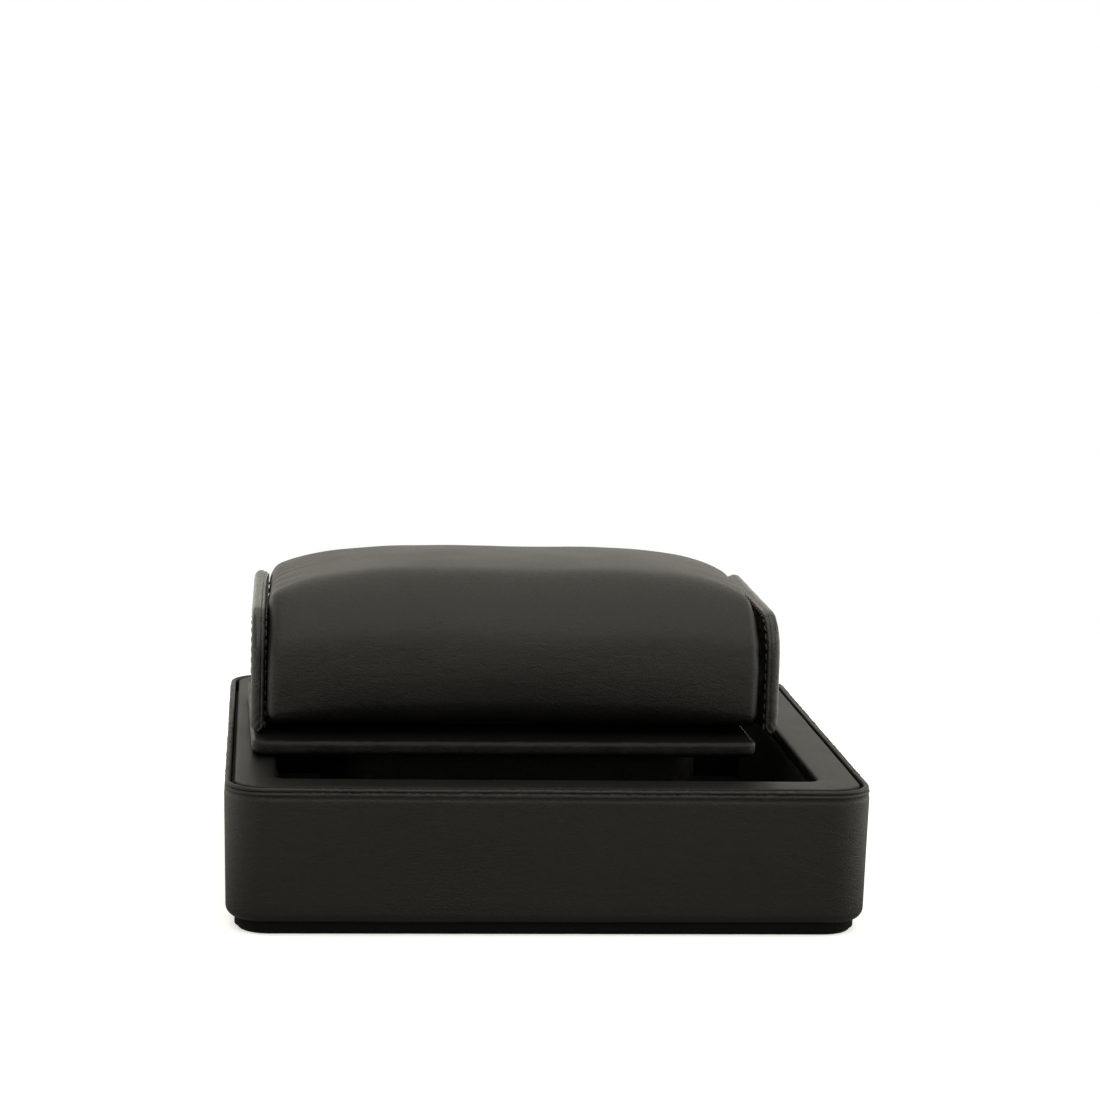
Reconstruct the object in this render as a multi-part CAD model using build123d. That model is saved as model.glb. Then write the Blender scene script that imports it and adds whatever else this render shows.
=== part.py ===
from build123d import *
import math
import os

# Travel watch stand: a low leather tray with a padded watch cushion held between two
# upright cheeks. Millimetres. +X is the tray's right, -Y its front, +Z up.
# The origin is the middle of the underside, on the surface that the tray stands on.

# Tray shell
tray_width = 115.0
tray_depth = 108.8
shell_height = 24.35
corner_radius = 7.8
bottom_draw_in = 0.5
shell_leather = 1.2
rim_round = 1.0
underside_bevel = 1.2
leather_turn_in = 9.0

# Recessed foot under the shell
foot_inset = 1.6
foot_board_thick = 1.5
felt_thick = 0.8
felt_inset = 0.6

# Boards inside the shell
base_thick = 3.0
wall_thick = 6.4
turn_in_clearance = 0.5

# Ledge frame, flush with the rim
ledge_reveal = 0.6
ledge_width = 7.35
ledge_thick = 2.4
ledge_leather = 0.8
ledge_edge_bevel = 0.5
ledge_inner_corner = 2.0

# Lining of the compartment
liner_thick = 1.9
floor_pad_thick = 1.2

# Thin line of glue between leather and board
glue_gap = 0.1

# Cradle: pedestal, platform, and a saddle made of a web and two cheeks
cradle_x = -4.25
cradle_y = 4.0
cradle_turn = 1.0
pedestal_width = 70.0
pedestal_depth = 42.0
pedestal_corner = 8.0
pedestal_leather = 1.0
platform_shift = -2.6
platform_overhang = 0.65
platform_forward = 1.0
platform_depth = 61.0
platform_thick = 2.9
platform_corner = 2.6
platform_clearance = 0.1
edge_round = 1.0
edge_bevel = 0.5
board_leather = 0.6
web_thick = 1.3
web_setback = 9.0
cheek_thick = 2.7
cheek_setback = 2.5
cheek_height = 24.2
cheek_top_fall = 1.8
cheek_top_corner = 8.0
cheek_toe_in_left = 1.6
cheek_toe_in_right = 0.9

# Watch cushion
cushion_length = 89.8
cushion_side_gap = 1.0
cushion_depth = 55.0
cushion_height = 28.5
cushion_top_round = 12.0
cushion_seat_round = 5.0
crown_rise = 0.8
belly_share = 0.3
brow_lean = 3.0
toe_lean = 0.6
cushion_seat_gap = 0.3
shoulder_start = 18.0
shoulder_drop = 6.2
shoulder_steps = 6
shoulder_front_share = 0.12
shoulder_under_share = 0.06
cushion_leather = 1.2
foam_gap = 0.3
end_hem = 2.2
end_panel_thick = 1.4
end_panel_gap = 0.2

# Levels, worked up from the surface that the tray stands on
shell_bottom_z = felt_thick + foot_board_thick
base_z = shell_bottom_z + shell_leather + glue_gap
floor_z = base_z + base_thick
rim_z = shell_bottom_z + shell_height
ledge_z = rim_z - ledge_thick
pad_top_z = floor_z + floor_pad_thick
platform_z = rim_z + platform_clearance
saddle_z = platform_z + platform_thick
cushion_z = saddle_z + web_thick + cushion_seat_gap

# Sizes that follow the cushion's
cheek_depth = cushion_depth - 2 * cheek_setback
saddle_inner_width = cushion_length + 2 * cushion_side_gap
platform_width = saddle_inner_width + 2 * platform_overhang

# Insets of faces from the tray's outer outline
wall_outer_inset = shell_leather + glue_gap
wall_inner_inset = wall_outer_inset + wall_thick
ledge_outer_inset = shell_leather + ledge_reveal
ledge_inner_inset = ledge_outer_inset + ledge_width
liner_face_inset = wall_inner_inset + liner_thick

draw_in_angle = math.degrees(math.atan(bottom_draw_in / shell_height))


def tray_outline(inset, radius):
    """Rounded rectangle that lies a steady distance inside the tray's outer outline."""
    return RectangleRounded(tray_width - 2 * inset, tray_depth - 2 * inset, radius)


def tapered_block(inset, low_z, high_z):
    """Solid between two levels, bounded by the shell's sloping sides set in by inset."""
    drawn_in = inset + bottom_draw_in * (rim_z - high_z) / shell_height
    outline = Pos(0, 0, high_z) * tray_outline(drawn_in, corner_radius - drawn_in)
    return extrude(outline, amount=-(high_z - low_z), taper=draw_in_angle)


def shell_wrap():
    """Leather skin: up the sides, over the rim, and turned in under the base."""
    skin = tapered_block(0, shell_bottom_z, rim_z)
    rim_edges = skin.faces().sort_by(Axis.Z)[-1].edges()
    skin = fillet(rim_edges, rim_round)
    foot_edges = skin.faces().sort_by(Axis.Z)[0].edges()
    skin = chamfer(foot_edges, underside_bevel)
    skin -= tapered_block(shell_leather, shell_bottom_z + shell_leather, rim_z)
    window = extrude(tray_outline(leather_turn_in, corner_radius), amount=rim_z)
    return skin - window


def base_board():
    """Bottom board, stepped on its underside around the turned-in leather."""
    board = tapered_block(wall_outer_inset, base_z, floor_z)
    step_outline = tray_outline(leather_turn_in + turn_in_clearance, corner_radius - turn_in_clearance)
    step = extrude(step_outline, amount=base_z - shell_bottom_z)
    return board + Pos(0, 0, shell_bottom_z) * step


def foot_board():
    """Recessed board that lifts the shell off the table."""
    inset = foot_inset + bottom_draw_in
    outline = tray_outline(inset, corner_radius - foot_inset)
    return Pos(0, 0, felt_thick) * extrude(outline, amount=foot_board_thick)


def foot_felt():
    """Felt pad under the foot board."""
    inset = foot_inset + bottom_draw_in + felt_inset
    outline = tray_outline(inset, corner_radius - foot_inset - felt_inset)
    return extrude(outline, amount=felt_thick)


def wall_ring():
    """All four wall boards in one ring, before it is cut at the corners."""
    ring = tapered_block(wall_outer_inset, floor_z, ledge_z)
    hollow = Rectangle(tray_width - 2 * wall_inner_inset, tray_depth - 2 * wall_inner_inset)
    return ring - extrude(hollow, amount=rim_z)


def wall_boards():
    """Front and back boards run past the side boards and carry the rounded corners."""
    ring = wall_ring()
    cut_y = tray_depth / 2 - wall_inner_inset
    middle = Box(2 * tray_width, 2 * cut_y, 4 * rim_z)
    ends = (ring - middle).solids().sort_by(Axis.Y)
    sides = (ring & middle).solids().sort_by(Axis.X)
    return {
        "wall_board_front": ends[0],
        "wall_board_back": ends[-1],
        "wall_board_left": sides[0],
        "wall_board_right": sides[-1],
    }


def ledge_blank(inset, low_z, high_z):
    """Flat frame with a rounded outer corner and a small inner corner."""
    outer = tray_outline(ledge_outer_inset + inset, corner_radius - ledge_outer_inset - inset)
    inner = tray_outline(ledge_inner_inset - inset, ledge_inner_corner + inset)
    return Pos(0, 0, low_z) * extrude(outer - inner, amount=high_z - low_z)


def ledge_core():
    """Greyboard frame inside the ledge's leather."""
    inset = ledge_leather + glue_gap
    return ledge_blank(inset, ledge_z, rim_z - inset)


def ledge_wrap():
    """Leather over the frame's top and down both of its edges."""
    skin = ledge_blank(0, ledge_z, rim_z)
    inner_edge = skin.faces().sort_by(Axis.Z)[-1].inner_wires()[0].edges()
    skin = chamfer(inner_edge, ledge_edge_bevel)
    return skin - ledge_blank(ledge_leather, ledge_z, rim_z - ledge_leather)


def liner_panels():
    """Suede-covered panels; front and back run between the side walls, sides between them."""
    long_span = tray_width - 2 * wall_inner_inset
    short_span = tray_depth - 2 * liner_face_inset
    height = ledge_z - floor_z
    offset_y = tray_depth / 2 - wall_inner_inset - liner_thick / 2
    offset_x = tray_width / 2 - wall_inner_inset - liner_thick / 2
    middle_z = floor_z + height / 2
    panels = {}
    for name, side in (("front", -1), ("back", 1)):
        panels["liner_panel_" + name] = Pos(0, side * offset_y, middle_z) * Box(long_span, liner_thick, height)
    for name, side in (("left", -1), ("right", 1)):
        panels["liner_panel_" + name] = Pos(side * offset_x, 0, middle_z) * Box(liner_thick, short_span, height)
    return panels


def floor_pad():
    """Suede-covered pad that fills the floor between the liner panels."""
    width = tray_width - 2 * liner_face_inset
    depth = tray_depth - 2 * liner_face_inset
    return Pos(0, 0, floor_z + floor_pad_thick / 2) * Box(width, depth, floor_pad_thick)


def pedestal_height():
    return platform_z - pad_top_z


def pedestal_core():
    """Wooden block that carries the platform."""
    inset = pedestal_leather + glue_gap
    outline = RectangleRounded(
        pedestal_width - 2 * inset, pedestal_depth - 2 * inset, pedestal_corner - inset
    )
    return Pos(0, 0, pad_top_z) * extrude(outline, amount=pedestal_height())


def pedestal_wrap():
    """Leather band around the block."""
    outer = RectangleRounded(pedestal_width, pedestal_depth, pedestal_corner)
    inner = RectangleRounded(
        pedestal_width - 2 * pedestal_leather,
        pedestal_depth - 2 * pedestal_leather,
        pedestal_corner - pedestal_leather,
    )
    return Pos(0, 0, pad_top_z) * extrude(outer - inner, amount=pedestal_height())


def platform_wrap():
    """Leather all round the platform's board."""
    outline = RectangleRounded(platform_width, platform_depth, platform_corner)
    skin = extrude(outline, amount=platform_thick)
    skin = fillet(skin.faces().sort_by(Axis.Z)[-1].edges(), edge_round)
    skin = chamfer(skin.faces().sort_by(Axis.Z)[0].edges(), edge_bevel)
    hollow = extrude(
        RectangleRounded(
            platform_width - 2 * board_leather,
            platform_depth - 2 * board_leather,
            platform_corner - board_leather,
        ),
        amount=platform_thick - 2 * board_leather,
    )
    return Pos(platform_shift, -platform_forward, platform_z) * (skin - Pos(0, 0, board_leather) * hollow)


def platform_core():
    """Board inside the platform."""
    inset = board_leather + glue_gap
    board = extrude(
        RectangleRounded(platform_width - 2 * inset, platform_depth - 2 * inset, platform_corner - inset),
        amount=platform_thick - 2 * inset,
    )
    return Pos(platform_shift, -platform_forward, platform_z + inset) * board


def saddle_web():
    """Leather-covered strip under the cushion, cut to the inner faces of the two cheeks."""
    half_width = saddle_inner_width / 2
    half_depth = cheek_depth / 2 - web_setback
    slant_left = half_depth * math.tan(math.radians(cheek_toe_in_left))
    slant_right = half_depth * math.tan(math.radians(cheek_toe_in_right))
    front_left = (-half_width - slant_left, -half_depth)
    front_right = (half_width + slant_right, -half_depth)
    back_right = (half_width - slant_right, half_depth)
    back_left = (-half_width + slant_left, half_depth)
    outline = make_face(Polyline(front_left, front_right, back_right, back_left, close=True))
    return Pos(0, 0, saddle_z) * extrude(outline, amount=web_thick)


def on_saddle(side, piece):
    """Stands a piece of one cheek at its end of the saddle, turned in a little towards the back."""
    turn = cheek_toe_in_right if side > 0 else -cheek_toe_in_left
    inner_face = Pos(side * saddle_inner_width / 2, 0, saddle_z)
    return inner_face * Rot(0, 0, turn) * Pos(side * cheek_thick / 2, 0, 0) * piece


def cheek_outline(inset):
    """Side view of a cheek: round top corners, and a top that falls towards the front."""
    half = cheek_depth / 2 - inset
    back_top = cheek_height - inset
    front_top = back_top - cheek_top_fall
    foot = inset
    corners = [(-half, foot), (-half, front_top), (half, back_top), (half, foot)]
    outline = make_face(Polyline(*corners, close=True))
    top_corners = [corner for corner in outline.vertices() if corner.Y > cheek_height / 2]
    outline = fillet(top_corners, cheek_top_corner - inset)
    return Plane.YZ * outline


def cheek_wrap(side):
    """Leather skin of one cheek, closed all round, rolled over outside and flatter inside."""
    skin = extrude(cheek_outline(0), amount=cheek_thick / 2, both=True)
    faces = skin.faces().sort_by(Axis.X)
    outer, inner = (faces[-1], faces[0]) if side > 0 else (faces[0], faces[-1])
    inner_centre = inner.center()
    skin = fillet(outer.edges(), edge_round)
    skin = chamfer(skin.faces().sort_by_distance(inner_centre)[0].edges(), edge_bevel)
    hollow = extrude(cheek_outline(board_leather), amount=cheek_thick / 2 - board_leather, both=True)
    return on_saddle(side, skin - hollow)


def cheek_core(side):
    """Board inside one cheek."""
    inset = board_leather + glue_gap
    board = extrude(cheek_outline(inset), amount=cheek_thick / 2 - inset, both=True)
    return on_saddle(side, board)


def cushion_section(drop, inset):
    """Cross-section with a crowned top and sides that belly out low down, less tall by the drop."""
    top = cushion_height - inset - drop
    under = inset + shoulder_under_share * drop
    half_depth = cushion_depth / 2 - inset - shoulder_front_share * drop
    fullness = (top - under) / (cushion_height - 2 * inset)
    belly = under + belly_share * (top - under)
    brow = top - crown_rise * fullness
    brow_edge = half_depth - brow_lean * fullness
    toe_edge = half_depth - toe_lean * fullness
    roof = ThreePointArc((-brow_edge, brow), (0, top), (brow_edge, brow))
    front = ThreePointArc((-toe_edge, under), (-half_depth, belly), (-brow_edge, brow))
    back = ThreePointArc((toe_edge, under), (half_depth, belly), (brow_edge, brow))
    seat = Line((-toe_edge, under), (toe_edge, under))
    outline = make_face(Curve() + [roof, front, back, seat])
    outline = fillet(outline.vertices().group_by(Axis.Y)[0], (cushion_seat_round - inset) * fullness)
    outline = fillet(outline.vertices().group_by(Axis.Y)[-1], (cushion_top_round - inset) * fullness)
    return Pos(0, 0, cushion_z) * (Plane.YZ * outline)


def cushion_body(inset):
    """Straight middle, with a shoulder that drops as a quarter ellipse lofted onto each end."""
    run = cushion_length / 2 - inset - shoulder_start
    sections = []
    for step in range(shoulder_steps + 1):
        angle = math.pi / 2 * step / shoulder_steps
        drop = shoulder_drop * (1 - math.cos(angle))
        sections.append(Pos(shoulder_start + run * math.sin(angle), 0, 0) * cushion_section(drop, inset))
    middle = extrude(cushion_section(0, inset), amount=shoulder_start, both=True)
    end = loft(sections, ruled=True)
    return middle + end + mirror(end, about=Plane.YZ)


def end_prism(gap, near, far):
    """Prism with the outline of the let-in end panel, from near to far along X."""
    section = cushion_section(shoulder_drop, end_hem + gap)
    return Pos(near, 0, 0) * extrude(section, amount=far - near)


def cushion_cover():
    """Leather cover, open where the end panels are let in."""
    half = cushion_length / 2
    cover = cushion_body(0) - cushion_body(cushion_leather)
    doorway = end_prism(0, half - end_panel_thick - foam_gap, half + foam_gap)
    return cover - doorway - mirror(doorway, about=Plane.YZ)


def cushion_foam():
    """Foam filling, a little smaller than the cover."""
    foam = cushion_body(cushion_leather + foam_gap)
    half = cushion_length / 2
    trim = half - end_panel_thick - 2 * foam_gap
    keep = Pos(0, 0, cushion_z + cushion_height / 2) * Box(2 * trim, cushion_depth, cushion_height)
    return foam & keep


def cushion_end(side):
    """Leather-covered panel that closes one end of the cushion."""
    half = cushion_length / 2
    panel = end_prism(end_panel_gap, half - end_panel_thick, half)
    if side < 0:
        panel = mirror(panel, about=Plane.YZ)
    return panel


def on_cradle(piece):
    """Puts a piece of the cradle or cushion where the cradle stands in the tray."""
    return Pos(cradle_x, cradle_y, 0) * Rot(0, 0, cradle_turn) * piece


def all_pieces():
    pieces = {
        "shell_wrap": shell_wrap(),
        "base_board": base_board(),
        "foot_board": foot_board(),
        "foot_felt": foot_felt(),
        "ledge_core": ledge_core(),
        "ledge_wrap": ledge_wrap(),
        "floor_pad": floor_pad(),
    }
    pieces.update(wall_boards())
    pieces.update(liner_panels())
    upper = {
        "pedestal_core": pedestal_core(),
        "pedestal_wrap": pedestal_wrap(),
        "platform_core": platform_core(),
        "platform_wrap": platform_wrap(),
        "saddle_web": saddle_web(),
        "cushion_cover": cushion_cover(),
        "cushion_foam": cushion_foam(),
    }
    for name, side in (("left", -1), ("right", 1)):
        upper["cheek_core_" + name] = cheek_core(side)
        upper["cheek_wrap_" + name] = cheek_wrap(side)
        upper["cushion_end_" + name] = cushion_end(side)
    for name, piece in upper.items():
        pieces[name] = on_cradle(piece)
    return pieces


os.makedirs("parts", exist_ok=True)
for node, solid in all_pieces().items():
    export_step(solid, "parts/" + node + ".step")
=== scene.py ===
import math

import bpy
from mathutils import Matrix, Vector, noise


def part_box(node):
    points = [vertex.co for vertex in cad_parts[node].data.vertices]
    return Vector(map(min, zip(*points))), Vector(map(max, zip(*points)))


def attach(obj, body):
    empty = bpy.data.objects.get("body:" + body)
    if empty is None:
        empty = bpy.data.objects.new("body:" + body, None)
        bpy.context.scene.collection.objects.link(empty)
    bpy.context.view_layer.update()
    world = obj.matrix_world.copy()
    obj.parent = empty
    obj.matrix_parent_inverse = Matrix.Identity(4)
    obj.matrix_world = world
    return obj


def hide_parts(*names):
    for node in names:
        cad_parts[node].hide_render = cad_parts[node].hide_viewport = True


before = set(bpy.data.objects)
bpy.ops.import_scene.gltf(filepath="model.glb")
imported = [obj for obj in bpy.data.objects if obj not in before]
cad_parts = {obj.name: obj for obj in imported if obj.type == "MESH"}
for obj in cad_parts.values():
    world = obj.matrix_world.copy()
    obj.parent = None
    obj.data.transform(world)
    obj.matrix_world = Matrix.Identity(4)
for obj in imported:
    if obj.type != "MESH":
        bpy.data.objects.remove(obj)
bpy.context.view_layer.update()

# Travel watch stand. The measures below are millimetres and become metres in skin().
# +X is the tray's right, -Y its front, +Z up.

# Tray
TRAY_HALF_WIDTH = 57.5
TRAY_HALF_DEPTH = 54.4
TRAY_CORNER = 7.8
DRAW_IN = 0.5
SHELL_LOW = 2.3
RIM_TOP = 26.65
LEDGE_LOW = 24.28
LEDGE_OUTER = 1.8
LEDGE_INNER = 9.15

# The two beads of the rolled rim: the inset, height and radius of each, then where its arc starts and
# ends in degrees, and in how many steps
LOWER_BEAD = (0.5, 25.53, 0.42, -50, 79, 7)
UPPER_BEAD = (0.62, 26.27, 0.38, -58, 90, 8)

# Cradle, which stands a little left of the middle and a little turned
CRADLE_PLACE = (-4.25, 4.0)
CRADLE_TURN = math.radians(1.0)
PLATFORM_MIDDLE = (-2.6, -1.0)
PLATFORM_HALF_WIDTH = 46.55
PLATFORM_HALF_DEPTH = 30.5
PLATFORM_CORNER = 2.6
PLATFORM_LOW = 26.75
PLATFORM_TOP = 29.65
PEDESTAL_LOW = 7.8
PEDESTAL_HALF_WIDTH = 35.0
PEDESTAL_HALF_DEPTH = 21.0
PEDESTAL_CORNER = 8.0
CHEEK_INNER = 45.9
CHEEK_TOE_IN = {-1: math.radians(1.6), 1: math.radians(0.9)}
CHEEK_THICK = 2.7
CHEEK_HALF_DEPTH = 25.0
CHEEK_HEIGHT = 24.2
CHEEK_TOP_FALL = 1.8
CHEEK_TOP_CORNER = 8.0
CHEEK_FOOT_CORNER = 0.6
WEB_HALF_DEPTH = 16.0

# Watch cushion
CUSHION_LOW = 31.25
CUSHION_HEIGHT = 28.5
CUSHION_HALF_DEPTH = 27.5
CUSHION_HALF_LENGTH = 44.9
CUSHION_TOP_ROUND = 12.0
CUSHION_SEAT_ROUND = 5.0
CROWN_RISE = 0.8
BELLY_SHARE = 0.3
BROW_LEAN = 3.0
TOE_LEAN = 0.6
SHOULDER_START = 18.0
SHOULDER_DROP = 6.2
FRONT_SHARE = 0.12
UNDER_SHARE = 0.06
CUSHION_END_ROLL = 2.1
COVER_SLACK = 0.15
SETTLE_START = 16.0
SETTLE_REACH = 0.82

SIDES = (("left", -1), ("right", 1))


# Node materials


class Wire:
    """An output socket. Sums with it, from either side, become math nodes."""

    def __init__(self, shader, socket):
        self.shader = shader
        self.socket = socket

    def math(self, operation, left, right):
        return self.shader.node("ShaderNodeMath", {"operation": operation}, {0: left, 1: right})

    def __add__(self, other):
        return self.math("ADD", self, other)

    def __radd__(self, other):
        return self.math("ADD", other, self)

    def __sub__(self, other):
        return self.math("SUBTRACT", self, other)

    def __rsub__(self, other):
        return self.math("SUBTRACT", other, self)

    def __mul__(self, other):
        return self.math("MULTIPLY", self, other)

    def __rmul__(self, other):
        return self.math("MULTIPLY", other, self)

    def __pow__(self, other):
        return self.math("POWER", self, other)

    def ramp(self, low, high):
        """0 at low, 1 at high, smooth between and steady outside."""
        settings = {"interpolation_type": "SMOOTHSTEP"}
        inputs = {"Value": self, "From Min": low, "From Max": high}
        return self.shader.node("ShaderNodeMapRange", settings, inputs)


class Shader:
    """A node tree, of a material or of the world, while it is being built."""

    def __init__(self, tree):
        self.tree = tree

    def feed(self, socket, value):
        if isinstance(value, Wire):
            self.tree.links.new(value.socket, socket)
        else:
            socket.default_value = value

    def node(self, kind, settings=None, inputs=None, output=0):
        made = self.tree.nodes.new(kind)
        for key, value in (settings or {}).items():
            setattr(made, key, value)
        for key, value in (inputs or {}).items():
            self.feed(made.inputs[key], value)
        return Wire(self, made.outputs[output])

    def mixed(self, share, first, second):
        """A shader that goes from first, which may be None for black, to second."""
        inputs = {0: share, 2: second}
        if first:
            inputs[1] = first
        return self.node("ShaderNodeMixShader", inputs=inputs)


class Finish(Shader):
    """The material of one piece or board."""

    def __init__(self, name, **constants):
        self.material = bpy.data.materials.new(name)
        self.material.use_nodes = True
        super().__init__(self.material.node_tree)
        self.surface = self.tree.nodes["Principled BSDF"]
        self.set(**constants)
        self.place = self.node("ShaderNodeTexCoord", output="Object")

    def set(self, **wires):
        for key, value in wires.items():
            self.feed(self.surface.inputs[key.replace("_", " ")], value)

    def noise(self, size, detail=2.0, roughness=0.5, place=None):
        """Soft noise from 0 to 1 whose lumps are about size millimetres across."""
        inputs = {
            "Vector": place or self.place,
            "Scale": 1000.0 / size,
            "Detail": detail,
            "Roughness": roughness,
        }
        return self.node("ShaderNodeTexNoise", inputs=inputs)

    def cells(self, size, feature="F1", place=None):
        """Distances in a cell pattern whose cells are about size millimetres across."""
        inputs = {"Vector": place or self.place, "Scale": 1000.0 / size}
        return self.node("ShaderNodeTexVoronoi", {"feature": feature}, inputs, "Distance")

    def stretched(self, x, y, z):
        """The place, stretched so that a pattern on it runs long in some directions."""
        inputs = {0: self.place, 1: (x, y, z)}
        return self.node("ShaderNodeVectorMath", {"operation": "MULTIPLY"}, inputs)

    def between(self, share, first, second):
        """A colour that goes from first to second."""
        return self.node("ShaderNodeMix", {"data_type": "RGBA"}, {0: share, 6: first, 7: second}, 2)

    def bump(self, height, depth):
        """A normal that shows height, a 0 to 1 pattern, as relief of depth millimetres."""
        inputs = {"Distance": depth / 1000.0, "Height": height}
        return self.node("ShaderNodeBump", inputs=inputs, output="Normal")


def shades(tone, dark_share, light_share):
    """A darker and a lighter shade of a colour."""
    return [tuple(share * channel for channel in tone) + (1.0,) for share in (dark_share, light_share)]


def leather(name, tone, grain_size, roughness, crease_depth, gloss=0.42):
    """Black box-calf leather: pebbled grain, pores, a few long creases and uneven polish."""
    calf = Finish(name, IOR=1.45, Specular_IOR_Level=gloss)
    cloudy = calf.noise(14.0, 3.0)
    pebble = calf.cells(grain_size, "DISTANCE_TO_EDGE")
    furrow = pebble.ramp(0.0, 0.16)
    pore = calf.noise(0.22, 2.0, 0.6)
    crease = calf.noise(5.5, 4.0, 0.62, calf.stretched(1.0, 0.35, 2.4))
    fold = 1.0 - ((crease - 0.5) * 9.0) ** 2.0
    relief = furrow * 0.45 + pore * 0.35 + fold.ramp(0.0, 1.0) * crease_depth
    dark, light = shades(tone, 0.72, 1.3)
    calf.set(
        Base_Color=calf.between(cloudy * 0.7 + furrow * 0.3, dark, light),
        Roughness=roughness + (cloudy - 0.5) * 0.12 - furrow * 0.03,
        Normal=calf.bump(relief, 0.06),
    )
    return calf.material


def suede(name, tone):
    """Short-napped lining: brushed patches and fine fibres."""
    nap = Finish(name, Specular_IOR_Level=0.03, Sheen_Weight=0.01, Sheen_Roughness=0.5)
    brushed = nap.noise(9.0, 3.0)
    fibre = nap.noise(0.18, 2.0, 0.7)
    dark, light = shades(tone, 0.6, 1.5)
    nap.set(
        Base_Color=nap.between(brushed * 0.6 + fibre * 0.4, dark, light),
        Roughness=0.9 + (fibre - 0.5) * 0.1,
        Normal=nap.bump(fibre * 0.7 + brushed * 0.3, 0.16),
    )
    return nap.material


def felt():
    """Pressed wool felt: matted fibres that run every way."""
    wool = Finish("black_felt", Specular_IOR_Level=0.12, Sheen_Weight=0.1, Sheen_Roughness=0.6)
    long_hair = wool.noise(0.5, 3.0, 0.7, wool.stretched(1.0, 0.2, 1.0))
    cross_hair = wool.noise(0.5, 3.0, 0.7, wool.stretched(0.2, 1.0, 1.0))
    mat = long_hair * 0.5 + cross_hair * 0.5
    wool.set(
        Base_Color=wool.between(
            mat.ramp(0.3, 0.7), (0.006, 0.006, 0.006, 1.0), (0.016, 0.015, 0.014, 1.0)
        ),
        Roughness=0.93 + (mat - 0.5) * 0.1,
        Normal=wool.bump(mat, 0.25),
    )
    return wool.material


def foam():
    """Charcoal upholstery foam: open cells of two sizes."""
    cellular = Finish("charcoal_foam", Specular_IOR_Level=0.2)
    large = cellular.cells(0.9)
    small = cellular.cells(0.4)
    holes = large.ramp(0.1, 0.6) * 0.6 + small * 0.4
    cellular.set(
        Base_Color=cellular.between(holes, (0.11, 0.115, 0.12, 1.0), (0.03, 0.031, 0.033, 1.0)),
        Roughness=0.9 + (small - 0.5) * 0.1,
        Normal=cellular.bump(1.0 - holes, 0.3),
    )
    return cellular.material


def fibreboard(name, pale, deep):
    """Pressed wood fibre with darker flecks."""
    board = Finish(name, Specular_IOR_Level=0.2)
    fleck = board.noise(0.7, 4.0, 0.7, board.stretched(0.4, 0.7, 1.6))
    patch = board.noise(7.0, 2.0)
    board.set(
        Base_Color=board.between(fleck.ramp(0.35, 0.7), pale, deep),
        Roughness=0.75 + (patch - 0.5) * 0.16,
        Normal=board.bump(fleck * 0.7 + patch * 0.3, 0.08),
    )
    return board.material


def greyboard():
    """Millboard of pulped paper, with pale and dark specks."""
    board = Finish("greyboard", Specular_IOR_Level=0.25)
    speck = board.cells(0.8)
    pulp = board.noise(2.2, 4.0, 0.6)
    board.set(
        Base_Color=board.between(
            speck.ramp(0.15, 0.5), (0.16, 0.15, 0.14, 1.0), (0.27, 0.26, 0.24, 1.0)
        ),
        Roughness=0.85 + (pulp - 0.5) * 0.12,
        Normal=board.bump(pulp, 0.06),
    )
    return board.material


def foot_cloth():
    """Woven black bookcloth on the recessed foot board."""
    cloth = Finish("foot_bookcloth", Specular_IOR_Level=0.12)
    threads = {"Vector": cloth.place, "Scale": 900.0}
    warp = cloth.node("ShaderNodeTexWave", {"bands_direction": "X"}, threads)
    weft = cloth.node("ShaderNodeTexWave", {"bands_direction": "Y"}, threads)
    slub = cloth.noise(1.6, 2.0)
    weave = warp * 0.5 + weft * 0.5
    cloth.set(
        Base_Color=cloth.between(
            weave * 0.6 + slub * 0.4, (0.002, 0.002, 0.002, 1.0), (0.006, 0.0056, 0.0052, 1.0)
        ),
        Roughness=0.7 + (slub - 0.5) * 0.2,
        Normal=cloth.bump(weave, 0.05),
    )
    return cloth.material


def thread():
    """Waxed black thread: plies that twist round it."""
    twisted = Finish("waxed_thread", Specular_IOR_Level=0.5)
    ply = twisted.node(
        "ShaderNodeTexWave",
        {"bands_direction": "DIAGONAL"},
        {"Vector": twisted.place, "Scale": 700.0, "Distortion": 0.6},
    )
    fuzz = twisted.noise(0.15, 1.0)
    twisted.set(
        Base_Color=twisted.between(
            ply * 0.7 + fuzz * 0.3, (0.006, 0.006, 0.006, 1.0), (0.03, 0.029, 0.027, 1.0)
        ),
        Roughness=0.42 + fuzz * 0.12,
        Normal=twisted.bump(ply, 0.06),
    )
    return twisted.material


# Shapes


def loop(half_width, half_height, radii, corner_steps, side_steps, middle=(0.0, 0.0)):
    """Points round a rectangle with its own radius at each corner, anticlockwise.
    The corners come in the order upper right, upper left, lower left, lower right."""
    signs = ((1, 1), (-1, 1), (-1, -1), (1, -1))
    arcs = []
    for quarter, ((across, up), radius) in enumerate(zip(signs, radii)):
        centre_x = middle[0] + across * (half_width - radius)
        centre_y = middle[1] + up * (half_height - radius)
        arc = []
        for step in range(corner_steps + 1):
            angle = math.pi / 2 * (quarter + step / corner_steps)
            arc.append((centre_x + radius * math.cos(angle), centre_y + radius * math.sin(angle)))
        arcs.append(arc)
    points = []
    for index, arc in enumerate(arcs):
        start = arcs[index - 1][-1]
        steps = side_steps[index % 2]
        for step in range(1, steps):
            share = step / steps
            x = start[0] + (arc[0][0] - start[0]) * share
            y = start[1] + (arc[0][1] - start[1]) * share
            points.append((x, y))
        points.extend(arc)
    return points


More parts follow.
